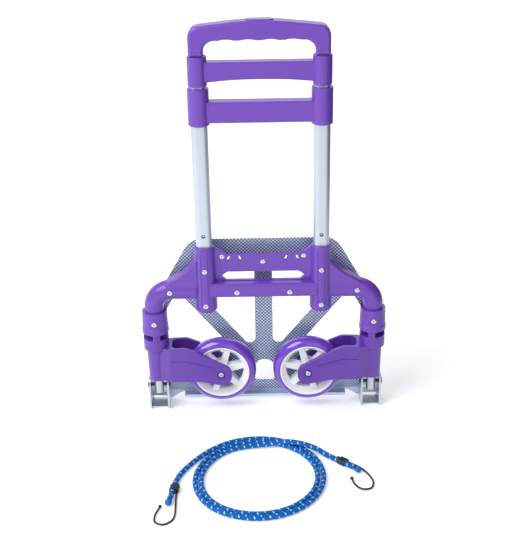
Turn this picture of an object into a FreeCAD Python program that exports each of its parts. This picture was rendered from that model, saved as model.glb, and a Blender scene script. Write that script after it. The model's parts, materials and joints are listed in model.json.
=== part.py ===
"""Folding luggage cart: two telescoping stages, a folding toe plate and two wheels that swing out.

Millimetres. +Z up, +X to the cart's right seen from behind, +Y towards the toe plate.
The cart stands folded. Everything is drawn about the plane of the legs and then moved by
LEG_Y, so that the origin is at the middle of the base.
"""
import FreeCAD
import Part
import math
import os

V = FreeCAD.Vector

# ---- whole cart
LEG_Y = -1.5                 # the legs' plane stands this far from the middle of the base
LEG_X = 174.5                # leg axes, left and right of the middle
TUBE_X = 91.0                # telescoping tubes' axes
STAGE_TRAVEL = 185.0         # how far each stage pulls out
RUNNING = 0.05               # radial gap round a shaft or a fixed plug

# ---- telescoping tubes: width, depth, corner radius, wall
OUTER_TUBE = (25.0, 21.0, 9.0, 1.2)
MIDDLE_TUBE = (22.0, 18.0, 7.6, 1.1)
INNER_TUBE = (19.2, 15.2, 6.3, 1.1)
OUTER_TUBE_Z = (192.0, 530.0)
MIDDLE_TUBE_Z = (305.0, 579.0)
INNER_TUBE_Z = (340.0, 614.0)
MIDDLE_PIN_Z = 311.7
INNER_PIN_Z = 347.0
LOCK_HOLE_R = 3.1
LOCK_PIN_R = 2.0
PIN_TIP_GAP = 0.15

# ---- bridges
LOWER_SLEEVE_R = 16.0
LOWER_SLEEVE_Z = (488.5, 544.0)
LOWER_BAR_Z = (492.5, 524.6)
UPPER_SLEEVE_R = 14.3
UPPER_SLEEVE_Z = (547.8, 591.5)
UPPER_BAR_Z = (557.5, 583.4)
THROAT = 12.0                # length of each sleeve's narrower top

# ---- handle
HANDLE_Z = (592.0, 642.5)
HANDLE_OUTER_X = 102.5
HANDLE_INNER_X = 80.8
HANDLE_SHOULDER_Z = 634.5
GRIP_UNDER_Z = 616.5
HANDLE_HALF_Y = 12.5
BUTTON_HALF_X = 20.3
BUTTON_TOP_Z = 644.2
BUTTON_TRAVEL = 4.0
CHANNEL_Z = (621.0, 633.5)   # hollow that the release yoke moves in

# ---- frame
BOSS_TOP_R = 15.8
BOSS_FOOT_R = 18.0
BOSS_Z = (180.5, 292.5)
WEB_HALF_Y = 3.0
BEAM_HALF_Y = 16.5
BEAM_Z = (208.5, 232.0)
WEB_TOP_Z = 277.0
SLOT_Z = (233.2, 248.0)
SLOT_HALF_X = 66.0
SLIT_Z = (266.2, 275.2)
SKIN = 3.0
FLUTE_ANGLES = (-44.0, -19.0, 19.0, 44.0)
ELBOW_R = 15.4
ELBOW_BEND = 30.0
ELBOW_Z = 218.0
ELBOW_END_Z = 152.5
STEEL_R = 11.0               # bent steel tube inside each wing
STEEL_WALL = 1.5
RIVET_R = 2.5
RIVET_HEAD_R = 4.0
FRAME_RIVETS = [(64.0, 273.3), (41.5, 217.0), (147.5, 217.5)]
BOSS_RIVET_Z = (254.0, 194.0)
COLLAR_RIVET_Z = 164.0

# ---- leg, collar and fork
ROD_R = 7.6
ROD_Z = (30.0, 180.0)
ROD_HEAD_Z = 154.0
COLLAR_R = 20.4
COLLAR_RING_R = 21.3
COLLAR_Z = (144.0, 181.0)
TOOTH_Z = (134.0, 143.7)
TOOTH_WIDTH = 32.0           # degrees
STOP_TOOTH = (63.0, 16.0)    # start and width, degrees
CROWN_R = 20.3
CROWN_Z = (112.0, 134.0)
POST_TOP_R = 15.9
POST_FOOT_R = 14.6
POST_Z = (57.0, 112.0)
ARM_Y = (16.0, 21.6)         # inner and outer faces of a fork arm, from the leg plane
AXLE_X = 70.5
AXLE_Z = 71.0
ARM_END_R = 17.0
AXLE_R = 3.2
AXLE_HEAD_R = 4.3
AXLE_RECESS_R = 6.6

# ---- wheel
TYRE_R = 57.0
TYRE_HALF_Y = 14.0
RIM_R = 45.2
RIM_LIP_R = 43.2
RIM_IN_R = 35.5
RIM_HALF_Y = 13.0
RIM_WAIST_Y = 3.5
HUB_R = 13.5
HUB_HALF_Y = 14.8
SPOKES = 6
SPOKE_W = 9.5
SPOKE_HALF_Y = 7.0
SPOKE_PHASE = 46.0

# ---- toe plate and ears
PLATE_Y = (24.0, 25.5)
PLATE_TOP_Z = 292.5
FLANGE_FRONT_Y = 12.0
PIN_Z = 43.0
PIN_R = 3.0
EAR_OFFSET = 13.5            # inner faces of an ear pair, either side of the leg
EAR_T = 3.0
EAR_TOP_Z = 56.4
EAR_FRONT_Y = -10.0

# ---- elastic cord
CORD_R = 4.0
CORD_CENTRE = (-13.0, -206.5)
CORD_TURN_R = (98.5, 89.7, 81.0)
TURN_POINTS = 16
CORD_OVER_Z = 15.2
WIRE_R = 1.5


# ------------------------------------------------------------------ drawing helpers
def corner_edges(points, radii):
    """Edges of a closed polygon of 3-D points whose corners are rounded."""
    count = len(points)
    trims = []
    for i in range(count):
        before = (points[i - 1] - points[i]).normalize()
        after = (points[(i + 1) % count] - points[i]).normalize()
        if radii[i] <= 0 or before.getAngle(after) > math.pi - 1e-3:
            trims.append((points[i], None, points[i]))
            continue
        half = before.getAngle(after) / 2.0
        reach = radii[i] / math.tan(half)
        middle = (before + after).normalize() * (radii[i] / math.sin(half) - radii[i])
        trims.append((points[i] + before * reach, points[i] + middle, points[i] + after * reach))
    edges = []
    for i in range(count):
        start, middle, end = trims[i]
        if middle is not None:
            edges.append(Part.Arc(start, middle, end).toShape())
        following = trims[(i + 1) % count][0]
        if end.distanceToPoint(following) > 1e-6:
            edges.append(Part.LineSegment(end, following).toShape())
    return edges


def rounded_face(points, radii):
    if not isinstance(radii, (list, tuple)):
        radii = [radii] * len(points)
    return Part.Face(Part.Wire(corner_edges(points, radii)))


def slab(outline, radii, y0, y1):
    """An outline in X and Z, made solid from y0 to y1."""
    face = rounded_face([V(x, y0, z) for x, z in outline], radii)
    return face.extrude(V(0, y1 - y0, 0))


def plan_slab(outline, radii, z0, z1):
    """An outline in X and Y, made solid from z0 to z1."""
    face = rounded_face([V(x, y, z0) for x, y in outline], radii)
    return face.extrude(V(0, 0, z1 - z0))


def side_slab(outline, radii, x0, x1):
    """An outline in Y and Z, made solid from x0 to x1."""
    face = rounded_face([V(x0, y, z) for y, z in outline], radii)
    return face.extrude(V(x1 - x0, 0, 0))


def face_edges(shape, faces_y):
    """Edges that lie wholly in one of the planes y = faces_y."""
    found = []
    for edge in shape.Edges:
        box = edge.BoundBox
        for y in faces_y:
            if abs(box.YMin - y) < 1e-4 and abs(box.YMax - y) < 1e-4:
                found.append(edge)
    return found


def soft_slab(outline, radii, half_y, soft):
    """A slab centred on the leg plane whose two flat faces have rounded edges."""
    body = slab(outline, radii, -half_y, half_y)
    return body.makeFillet(soft, face_edges(body, (-half_y, half_y)))


def box(x0, x1, y0, y1, z0, z1):
    return Part.makeBox(x1 - x0, y1 - y0, z1 - z0, V(x0, y0, z0))


def cyl_z(x, r, z0, z1, y=0.0):
    return Part.makeCylinder(r, z1 - z0, V(x, y, z0), V(0, 0, 1))


def cyl_y(x, z, r, y0, y1):
    return Part.makeCylinder(r, y1 - y0, V(x, y0, z), V(0, 1, 0))


def cyl_x(y, z, r, x0, x1):
    return Part.makeCylinder(r, x1 - x0, V(x0, y, z), V(1, 0, 0))


def oval(width, depth, radius, z0, z1, x=TUBE_X):
    """A rounded rectangle in plan, made solid from z0 to z1."""
    w = width / 2.0
    d = depth / 2.0
    return plan_slab([(x - w, -d), (x + w, -d), (x + w, d), (x - w, d)], radius, z0, z1)


def tube_bore(size, z0, z1, gap=RUNNING):
    """The space that a tube of this size fits into."""
    return oval(size[0] + 2 * gap, size[1] + 2 * gap, size[2] + gap, z0, z1)


def mirrored(shape):
    return shape.mirror(V(0, 0, 0), V(1, 0, 0))


def both(shape):
    return [shape, mirrored(shape)]


def fused(shapes):
    return shapes[0].multiFuse(list(shapes[1:])).removeSplitter()


def cut_all(shape, tools):
    return shape.cut(Part.makeCompound(list(tools)))


def half(shape, side):
    """The part of a shape behind (-1) or in front of (+1) the leg plane."""
    reach = 60.0
    if side < 0:
        return shape.common(box(-250, 250, -reach, -RUNNING, 0, 700))
    return shape.common(box(-250, 250, RUNNING, reach, 0, 700))


# ------------------------------------------------------------------ telescoping tubes
def hollow_tube(size, span, holes):
    """One tube of a stage, with lock holes in the wall that faces backwards."""
    width, depth, radius, wall = size
    skin = oval(width, depth, radius, span[0], span[1])
    hollow = oval(width - 2 * wall, depth - 2 * wall, radius - wall, span[0] - 1, span[1] + 1)
    cuts = [hollow]
    for z in holes:
        cuts.append(cyl_y(TUBE_X, z, LOCK_HOLE_R, -20, 0))
    return cut_all(skin, cuts)


def tube_plug(size, z0, z1, pin_z, rod_hole):
    """Plastic plug in a tube's foot that carries its lock pin."""
    width, depth, radius, wall = size
    gap = wall + RUNNING
    plug = oval(width - 2 * gap, depth - 2 * gap, radius - gap, z0, z1)
    cuts = [cyl_y(TUBE_X, pin_z, LOCK_PIN_R + RUNNING, -20, 5.5)]
    if rod_hole:
        cuts.append(cyl_z(TUBE_X, 2.2, z1 - 12, z1 + 1))
    return cut_all(plug, cuts)


def lock_pin(size, pin_z, back_y):
    """A pin whose tip stands just inside the tube round it, behind the hole in that tube's wall."""
    tip_y = -size[1] / 2.0 + size[3] + PIN_TIP_GAP
    body = cyl_y(TUBE_X, pin_z, LOCK_PIN_R, tip_y, back_y)
    return body.makeChamfer(0.6, face_edges(body, (tip_y,)))


# ------------------------------------------------------------------ bridges
def bridge(sleeve_r, sleeve_z, bar_z, bar_half_y, tube, passing, arch):
    """Two sleeves on the tubes joined by a bar."""
    z0, z1 = sleeve_z
    sleeve = cyl_z(TUBE_X, sleeve_r, z0, z1)
    sleeve = sleeve.makeFillet(1.2, [e for e in sleeve.Edges if len(e.Vertexes) == 1])
    outline = [(-TUBE_X, bar_z[0] - arch), (-45, bar_z[0]), (45, bar_z[0]), (TUBE_X, bar_z[0] - arch),
               (TUBE_X, bar_z[1]), (-TUBE_X, bar_z[1])]
    bar = soft_slab(outline, [0, 600, 600, 0, 0, 0], bar_half_y, 3.0)
    body = fused([bar] + both(sleeve))
    seat = tube_bore(tube, z0 - 1, z1 - THROAT)
    throat = tube_bore(passing, z0, z1 + 1, 0.3)
    return cut_all(body, both(seat) + both(throat))


# ------------------------------------------------------------------ handle
def handle_block():
    """The closed loop of the handle as one solid, before it is split and hollowed."""
    outer = HANDLE_OUTER_X
    inner = HANDLE_INNER_X
    low, top = HANDLE_Z
    under = GRIP_UNDER_Z - 2
    outline = [(-outer, low), (-inner, low), (-inner, under), (inner, under), (inner, low), (outer, low),
               (outer, HANDLE_SHOULDER_Z), (26, top), (-26, top), (-outer, HANDLE_SHOULDER_Z)]
    radii = [2, 2, 16, 16, 2, 2, 17, 260, 260, 17]
    block = soft_slab(outline, radii, HANDLE_HALF_Y, 5.0)
    waves = []
    for x in (-48, -16, 16, 48):
        waves.append(cyl_y(x, under - 31.5, 34.0, -20, 20))
    return cut_all(block, waves)


def handle_hollow():
    """Spaces inside the handle for the tubes, the release rods, the yoke and the button."""
    seats = both(tube_bore(INNER_TUBE, HANDLE_Z[0] - 1, INNER_TUBE_Z[1] + 1))
    wells = both(box(TUBE_X - 5, TUBE_X + 5, -5, 5, INNER_TUBE_Z[1], CHANNEL_Z[1]))
    channel = box(-TUBE_X - 5, TUBE_X + 5, -6, 6, CHANNEL_Z[0], CHANNEL_Z[1] - 4)
    well = box(-60, 60, -6, 6, CHANNEL_Z[0], CHANNEL_Z[1])
    mouth = plan_slab(button_outline(0.3), 7.8, CHANNEL_Z[1] - 2 - BUTTON_TRAVEL - 0.4, 660)
    return seats + wells + [channel, well, mouth]


def button_outline(gap):
    x = BUTTON_HALF_X + gap
    y = 7.5 + gap
    return [(-x, -y), (x, -y), (x, y), (-x, y)]


def handle_shell(block, side):
    shell = half(cut_all(block, handle_hollow()), side)
    holes = []
    for x, z in handle_screw_places():
        holes.append(cyl_y(x, z, 1.55, -9.0, 9.0))
        holes.append(cyl_y(x, z, 3.1, 9.0, 20.0))
    return cut_all(shell, holes)


def handle_screw_places():
    return [(-98.4, 618.5), (-66.0, 617.6), (66.0, 617.6), (98.4, 618.5)]


def handle_screws():
    screws = []
    for x, z in handle_screw_places():
        shank = cyl_y(x, z, 1.5, -8.9, 9.2)
        head = cyl_y(x, z, 3.0, 9.05, 10.6)
        screws.append(shank.fuse(head).removeSplitter())
    return Part.makeCompound(screws)


def release_button():
    body = plan_slab(button_outline(0.0), 7.4, CHANNEL_Z[1] - 1.9, BUTTON_TOP_Z)
    top = [e for e in body.Edges if abs(e.BoundBox.ZMin - BUTTON_TOP_Z) < 1e-4]
    return body.makeFillet(1.5, top)


def release_yoke():
    low = CHANNEL_Z[0] + BUTTON_TRAVEL + 0.6
    bar = box(-TUBE_X - 3, TUBE_X + 3, -4, 4, low, low + 3.6)
    pad = box(-18, 18, -4, 4, low + 3.6, CHANNEL_Z[1] - 2.0)
    sockets = both(cyl_z(TUBE_X, 2.0 + RUNNING, low - 1, low + 2.6))
    return cut_all(fused([bar, pad]), sockets)


def release_rods():
    low = CHANNEL_Z[0] + BUTTON_TRAVEL + 0.6
    rod = fused([cyl_z(TUBE_X, 2.0, 362.0, low + 2.5), cyl_z(TUBE_X, 5.0, 396.0, 398.0)])
    return Part.makeCompound(both(rod))


def release_springs():
    """Open coils round the release rods that lift the button again."""
    coil_r = 3.6
    wire_r = 0.5
    helix = Part.makeHelix(3.1, 23.5, coil_r)
    helix.translate(V(TUBE_X, 0, 371.3))
    start = V(TUBE_X + coil_r, 0, 371.3)
    circle = Part.Wire(Part.makeCircle(wire_r, start, V(0, 1, 0.137)))
    coil = Part.Wire(helix).makePipeShell([circle], True, True)
    return Part.makeCompound(both(coil))


# ------------------------------------------------------------------ frame
def boss():
    """Round socket of the frame that holds an outer tube."""
    low, high = BOSS_Z
    cone = Part.makeCone(BOSS_FOOT_R, BOSS_TOP_R, high - low, V(TUBE_X, 0, low), V(0, 0, 1))
    foot = [e for e in cone.Edges if len(e.Vertexes) == 1 and abs(e.BoundBox.ZMax - low) < 1e-4]
    cone = cone.makeFillet(6.0, foot)
    rim = [e for e in cone.Edges if len(e.Vertexes) == 1 and abs(e.BoundBox.ZMin - high) < 1e-4]
    return cone.makeFillet(1.2, rim)


def boss_flutes():
    """Shallow upright grooves in the front and back of a socket, clear of its rivets."""
    low, high = BOSS_Z
    flutes = []
    for angle in FLUTE_ANGLES:
        for side in (-1, 1):
            east = math.sin(math.radians(angle))
            south = side * math.cos(math.radians(angle))
            foot = V(TUBE_X + (BOSS_FOOT_R + 0.3) * east, (BOSS_FOOT_R + 0.3) * south, low)
            rim = V(TUBE_X + (BOSS_TOP_R + 0.3) * east, (BOSS_TOP_R + 0.3) * south, high)
            along = rim - foot
            start = foot + along * 0.14
            flutes.append(Part.makeCylinder(1.2, along.Length * 0.8, start, along))
    return flutes


def elbow_path(end_x, end_z):
    """Centre line of a wing: level, then bent down to the leg axis."""
    bend = ELBOW_BEND
    corner = V(LEG_X - bend, 0, ELBOW_Z)
    middle = V(LEG_X - bend + bend * math.sin(math.pi / 4), 0, ELBOW_Z - bend + bend * math.cos(math.pi / 4))
    down = V(LEG_X, 0, ELBOW_Z - bend)
    level = Part.LineSegment(V(end_x, 0, ELBOW_Z), corner).toShape()
    curve = Part.Arc(corner, middle, down).toShape()
    drop = Part.LineSegment(down, V(LEG_X, 0, end_z)).toShape()
    return Part.Wire([level, curve, drop])


def bent_rod(radius, end_x, end_z):
    start = Part.Wire(Part.makeCircle(radius, V(end_x, 0, ELBOW_Z), V(1, 0, 0)))
    return elbow_path(end_x, end_z).makePipeShell([start], True, True)


def frame_web():
    """The flat middle of the frame, dipping between the sockets."""
    top = WEB_TOP_Z
    outline = [(-TUBE_X, BEAM_Z[0]), (TUBE_X, BEAM_Z[0]), (TUBE_X, top + 14.5), (TUBE_X - 14, top + 14.5),
               (53.5, top), (-53.5, top), (-TUBE_X + 14, top + 14.5), (-TUBE_X, top + 14.5)]
    return soft_slab(outline, [0, 0, 0, 3, 8, 8, 3, 0], WEB_HALF_Y, 1.0)


def frame_beam():
    outline = [(-TUBE_X, BEAM_Z[0]), (TUBE_X, BEAM_Z[0]), (TUBE_X, BEAM_Z[1]), (-TUBE_X, BEAM_Z[1])]
    return soft_slab(outline, 0, BEAM_HALF_Y, 4.0)


def frame_wing():
    """Sloping shoulder between a socket and its elbow."""
    outline = [(TUBE_X, ELBOW_Z - 13.5), (151, ELBOW_Z - 13.5), (160, 226), (146, 236.5), (128, 246.5),
               (109, 263), (103, 274), (TUBE_X, 276)]
    return soft_slab(outline, [0, 3, 10, 25, 30, 16, 4, 0], 12.0, 4.0)


def frame_block():
    elbow = bent_rod(ELBOW_R, TUBE_X + 15, ELBOW_END_Z)
    pieces = [frame_web(), frame_beam()]
    for piece in (boss(), frame_wing(), elbow):
        pieces += both(piece)
    return fused(pieces)


def frame_slot():
    low, high = SLOT_Z
    x = SLOT_HALF_X
    middle = (low + high) / 2.0
    outline = [(-x, middle), (-x + 8, low), (x - 8, low), (x, middle), (x - 10, high), (-x + 10, high)]
    return slab(outline, [1.5, 4, 4, 1.5, 6, 6], -40, 40)


def beam_slope():
    """Wedge that takes the front of the beam's top down below the slot."""
    low = SLOT_Z[0]
    fall = 0.5
    deep = BEAM_HALF_Y + 3.0
    reach = SLOT_HALF_X + 3.0
    near = WEB_HALF_Y
    outline = [(near, low), (deep, low - fall * (deep - near)), (deep, low + 12), (near, low + 12)]
    return side_slab(outline, [0, 0, 0, 0], -reach, reach)


def hook_slits():
    """Four short slanted slots, in pairs, for the ends of elastic cords."""
    slits = []
    low, high = SLIT_Z
    for x, lean in ((53.8, 24.0), (36.0, -24.0)):
        slit = slab([(x - 1.5, low), (x + 1.5, low), (x + 1.5, high), (x - 1.5, high)], 1.3, -40, 40)
        slit.rotate(V(x, 0, (low + high) / 2.0), V(0, 1, 0), -lean)
        slits += both(slit)
    return slits


def frame_pockets():
    """Hollows between the two frame shells, clear of the rivets."""
    pockets = both(box(6, 34, -BEAM_HALF_Y + SKIN, BEAM_HALF_Y - SKIN, 212, 224))
    pockets += both(box(49, 70, -BEAM_HALF_Y + SKIN, BEAM_HALF_Y - SKIN, 212, 224))
    pockets += both(box(112, 122, -9, 9, 233.5, 246))
    return pockets


def rivet_places():
    places = [(0.0, 264.0)]
    for x, z in FRAME_RIVETS:
        places += [(x, z), (-x, z)]
    for z in BOSS_RIVET_Z:
        places += [(TUBE_X, z), (-TUBE_X, z)]
    return places


def rivet_reach(x, z):
    """How far the frame's surface stands from the leg plane at a rivet."""
    if abs(abs(x) - TUBE_X) < 1:
        return BOSS_FOOT_R + (BOSS_TOP_R - BOSS_FOOT_R) * (z - BOSS_Z[0]) / (BOSS_Z[1] - BOSS_Z[0])
    if abs(x) > TUBE_X:
        return ELBOW_R
    if BEAM_Z[0] < z < BEAM_Z[1]:
        return BEAM_HALF_Y
    return WEB_HALF_Y


def rivet(x, z, reach):
    """Blind rivet along Y: a domed head with a small dimple behind and a flat tail in front."""
    shank = cyl_y(x, z, RIVET_R, -reach, reach)
    dome = Part.makeSphere(6.2, V(x, -reach + 4.8, z), V(0, 1, 0))
    head = dome.common(cyl_y(x, z, RIVET_HEAD_R, -reach - 4, -reach - 0.02))
    tail = cyl_y(x, z, RIVET_HEAD_R, reach + 0.02, reach + 1.0)
    joint = cyl_y(x, z, RIVET_R, -reach - 0.2, reach + 0.2)
    dimple = cyl_y(x, z, 1.0, -reach - 3, -reach + 1)
    return fused([shank, head, tail, joint]).cut(dimple)


def frame_shells():
    block = frame_block()
    cuts = [frame_slot(), beam_slope()] + hook_slits() + frame_pockets()
    cuts += [groove for flute in boss_flutes() for groove in both(flute)]
    cuts += both(tube_bore(OUTER_TUBE, OUTER_TUBE_Z[0] - 0.1, 320))
    cuts += both(bent_rod(STEEL_R + RUNNING, TUBE_X + 21 - RUNNING, ELBOW_END_Z - 1))
    for x, z in rivet_places():
        cuts.append(cyl_y(x, z, RIVET_R + RUNNING, -40, 40))
    cuts += both(cyl_y(LEG_X, COLLAR_RIVET_Z, RIVET_R + RUNNING, -40, 40))
    block = cut_all(block, cuts)
    return half(block, -1), half(block, 1)


def frame_rivets():
    return Part.makeCompound([rivet(x, z, rivet_reach(x, z)) for x, z in rivet_places()])


def outer_tube():
    tube = hollow_tube(OUTER_TUBE, OUTER_TUBE_Z, (MIDDLE_PIN_Z, MIDDLE_PIN_Z + STAGE_TRAVEL))
    holes = [cyl_y(TUBE_X, z, RIVET_R + RUNNING, -40, 40) for z in BOSS_RIVET_Z]
    return cut_all(tube, holes)


def steel_elbow():
    skin = bent_rod(STEEL_R, TUBE_X + 21, ELBOW_END_Z)
    bore = bent_rod(STEEL_R - STEEL_WALL, TUBE_X + 20, ELBOW_END_Z - 1)
    holes = []
    for x, z in ((LEG_X, COLLAR_RIVET_Z), FRAME_RIVETS[2]):
        holes.append(cyl_y(x, z, RIVET_R + RUNNING, -40, 40))
    return cut_all(skin, [bore] + holes)


# ------------------------------------------------------------------ leg, collar and fork
def leg_rod():
    """Round bar from the elbow to the ears, with a thicker head inside the steel tube."""
    shank = cyl_z(LEG_X, ROD_R, ROD_Z[0], ROD_HEAD_Z + 1)
    head = cyl_z(LEG_X, STEEL_R - STEEL_WALL - RUNNING, ROD_HEAD_Z, ROD_Z[1])
    body = fused([shank, head])
    cuts = [cyl_x(0, PIN_Z, PIN_R + RUNNING, LEG_X - 20, LEG_X + 20),
            cyl_y(LEG_X, COLLAR_RIVET_Z, RIVET_R + RUNNING, -20, 20)]
    return cut_all(body, cuts)


def ring_sector(x, inner_r, outer_r, start, sweep, z0, z1):
    """A sector of a flat ring; the angle is counted from the back (-Y) towards the middle."""
    side = -1.0 if x > 0 else 1.0
    outline = []
    steps = 6
    for radius, order in ((outer_r + 6, range(steps + 1)), (inner_r - 3, range(steps, -1, -1))):
        for i in order:
            angle = math.radians(start + sweep * i / steps)
            outline.append((x + side * radius * math.sin(angle), -radius * math.cos(angle)))
    wedge = plan_slab(outline, 0, z0, z1)
    ring = cyl_z(x, outer_r, z0, z1).cut(cyl_z(x, inner_r, z0 - 1, z1 + 1))
    return ring.common(wedge)


def crown_collar():
    """Fluted collar on the elbow's end, with two teeth below that limit the fork's swing."""
    low, high = COLLAR_Z
    sleeve = Part.makeCone(COLLAR_R + 0.3, COLLAR_R - 0.6, high - low, V(LEG_X, 0, low), V(0, 0, 1))
    ring = cyl_z(LEG_X, COLLAR_RING_R, low, low + 9)
    ring = ring.makeFillet(2.0, [e for e in ring.Edges if len(e.Vertexes) == 1 and e.BoundBox.ZMin > low + 5])
    pieces = [sleeve, ring]
    first, width = STOP_TOOTH
    for start in (first, first + 180.0):
        pieces.append(ring_sector(LEG_X, 9.0, COLLAR_RING_R - 0.4, start, width, TOOTH_Z[0] + 0.4, low + 1))
    body = fused(pieces)
    cuts = [cyl_z(LEG_X, ELBOW_R + RUNNING, ELBOW_END_Z - 0.1, high + 1),
            cyl_z(LEG_X, ROD_R + RUNNING, 100, 170),
            cyl_y(LEG_X, COLLAR_RIVET_Z, RIVET_R + RUNNING, -40, 40)]
    for i in range(18):
        angle = math.radians(20 * i + 10)
        x = LEG_X + (COLLAR_R + 0.55) * math.cos(angle)
        y = (COLLAR_R + 0.55) * math.sin(angle)
        cuts.append(cyl_z(x, 1.3, low + 12, high - 3, y))
    return cut_all(body, cuts)


def collar_rivets():
    return Part.makeCompound(both(rivet(LEG_X, COLLAR_RIVET_Z, COLLAR_R + 0.1)))


def arm_outline():
    """Side view of a fork arm, from the post to the rounded end at the axle."""
    end_x = AXLE_X - ARM_END_R
    low = AXLE_Z - ARM_END_R - 2.8
    return [(LEG_X - 3, 59.0), (106, 57.7), (AXLE_X + 2, low), (end_x, low), (end_x, AXLE_Z + 10.5),
            (108, 112.0), (126, 119.6), (LEG_X - 10, 118.2), (LEG_X - 3, 118.2)]


def fork():
    """Crown, post and two arms in one moulding."""
    inner, outer = ARM_Y
    side = slab(arm_outline(), [0, 20, 8, 16, 16, 30, 20, 2, 0], -outer, outer)
    root = POST_FOOT_R - 1.5
    plan = [(LEG_X - 3, -root), (LEG_X - 22, -outer), (AXLE_X - 30, -outer), (AXLE_X - 30, outer),
            (LEG_X - 22, outer), (LEG_X - 3, root)]
    cheeks = side.common(plan_slab(plan, [0, 14, 0, 0, 14, 0], 40, 150))
    gap = plan_slab([(LEG_X - 25, -inner), (AXLE_X - 40, -inner), (AXLE_X - 40, inner), (LEG_X - 25, inner)],
                    [9, 0, 0, 9], 40, 150)
    cheeks = cheeks.cut(gap)
    edges = face_edges(cheeks, (-outer, outer))
    cheeks = cheeks.makeFillet(1.5, edges)
    pieces = [fork_post(), cheeks]
    for start in (-9.0, 171.0):
        pieces.append(ring_sector(LEG_X, 9.0, CROWN_R, start, TOOTH_WIDTH, CROWN_Z[1] - 1, TOOTH_Z[1]))
    body = fused(pieces)
    cuts = [cyl_z(LEG_X, ROD_R + RUNNING, 40, 160), cyl_y(AXLE_X, AXLE_Z, AXLE_R + RUNNING, -40, 40),
            cyl_y(AXLE_X, AXLE_Z, AXLE_RECESS_R, outer - 2.4, outer + 5),
            cyl_y(AXLE_X, AXLE_Z, AXLE_RECESS_R, -outer - 5, -outer + 2.4)]
    for y0, y1 in ((-outer - 1, -outer + 0.7), (outer - 0.7, outer + 1)):
        cuts.append(arm_groove(y0, y1))
    return cut_all(body, cuts)


def fork_post():
    """Post and crown, turned about the leg."""
    low, high = CROWN_Z
    foot = POST_Z[0]
    profile = [(0.0, foot), (POST_FOOT_R, foot), (POST_TOP_R, low), (CROWN_R - 2.5, low), (CROWN_R, low + 2.5),
               (CROWN_R, high), (0.0, high)]
    points = [V(LEG_X + r, 0, z) for r, z in profile]
    edges = [Part.LineSegment(points[i - 1], points[i]).toShape() for i in range(len(points))]
    return Part.Face(Part.Wire(edges)).revolve(V(LEG_X, 0, 0), V(0, 0, 1), 360)


def arm_groove(y0, y1):
    """Shallow line along an arm, a little below its upper edge."""
    path = [(159, 100.0), (154.5, 96.2), (128, 97.2), (84, 84.8)]
    wide = 0.8
    outline = [(x, z + wide) for x, z in path] + [(x, z - wide) for x, z in reversed(path)]
    return slab(outline, [0, 2, 20, 0, 0, 20, 2, 0], y0, y1)


def axle_bolt():
    outer = ARM_Y[1]
    shank = cyl_y(AXLE_X, AXLE_Z, AXLE_R, -outer + 1.5, outer + 0.2)
    head = cyl_y(AXLE_X, AXLE_Z, AXLE_HEAD_R, -outer - 0.9, -outer + 2.35)
    head = head.makeFillet(1.4, face_edges(head, (-outer - 0.9,)))
    socket = cyl_y(AXLE_X, AXLE_Z, 1.8, -outer - 3, -outer + 1.0)
    return fused([shank, head]).cut(socket)


def axle_nut():
    outer = ARM_Y[1]
    corners = []
    for i in range(6):
        angle = math.radians(60 * i)
        corners.append((AXLE_X + 6.2 * math.cos(angle), AXLE_Z + 6.2 * math.sin(angle)))
    nut = slab(corners, 0.3, outer - 2.35, outer + 0.9)
    return nut.cut(cyl_y(AXLE_X, AXLE_Z, AXLE_R + RUNNING, outer - 5, outer + 5))


# ------------------------------------------------------------------ wheel
def revolved(profile):
    """A closed outline of (y, r) points turned about the axle."""
    points = [V(AXLE_X, y, AXLE_Z + r) for y, r in profile]
    edges = [Part.LineSegment(points[i - 1], points[i]).toShape() for i in range(len(points))]
    return Part.Face(Part.Wire(edges)).revolve(V(AXLE_X, 0, AXLE_Z), V(0, 1, 0), 360)


def tyre():
    """Round-shouldered solid tyre moulded on the rim."""
    half_y = TYRE_HALF_Y
    foot = RIM_R + RUNNING
    shoulder = RIM_R + 1.6
    low_left = V(AXLE_X, -half_y + 0.8, AXLE_Z + foot)
    left = V(AXLE_X, -half_y, AXLE_Z + shoulder)
    crown = V(AXLE_X, 0, AXLE_Z + TYRE_R)
    right = V(AXLE_X, half_y, AXLE_Z + shoulder)
    low_right = V(AXLE_X, half_y - 0.8, AXLE_Z + foot)
    edges = [Part.LineSegment(low_left, left).toShape(), Part.Arc(left, crown, right).toShape(),
             Part.LineSegment(right, low_right).toShape(), Part.LineSegment(low_right, low_left).toShape()]
    return Part.Face(Part.Wire(edges)).revolve(V(AXLE_X, 0, AXLE_Z), V(0, 1, 0), 360)


def wheel_hub():
    """Rim, spokes and centre in one moulding."""
    rim = revolved([(-RIM_HALF_Y, RIM_R), (RIM_HALF_Y, RIM_R), (RIM_HALF_Y, RIM_LIP_R), (RIM_WAIST_Y, RIM_IN_R),
                    (-RIM_WAIST_Y, RIM_IN_R), (-RIM_HALF_Y, RIM_LIP_R)])
    core = cyl_y(AXLE_X, AXLE_Z, HUB_R, -HUB_HALF_Y, HUB_HALF_Y)
    pieces = [rim, core]
    for i in range(SPOKES):
        outline = [(HUB_R - 3, -SPOKE_W / 2 - 1), (RIM_IN_R + 3, -SPOKE_W / 2), (RIM_IN_R + 3, SPOKE_W / 2),
                   (HUB_R - 3, SPOKE_W / 2 + 1)]
        spoke = slab([(AXLE_X + x, AXLE_Z + z) for x, z in outline], 0, -SPOKE_HALF_Y, SPOKE_HALF_Y)
        spoke.rotate(V(AXLE_X, 0, AXLE_Z), V(0, 1, 0), -(SPOKE_PHASE + 360.0 / SPOKES * i))
        pieces.append(spoke)
    return fused(pieces).cut(cyl_y(AXLE_X, AXLE_Z, 6.5 + RUNNING, -30, 30))


def wheel_bush():
    tube = cyl_y(AXLE_X, AXLE_Z, 6.5, -HUB_HALF_Y - 0.6, HUB_HALF_Y + 0.6)
    return tube.cut(cyl_y(AXLE_X, AXLE_Z, AXLE_R + RUNNING, -30, 30))


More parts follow.
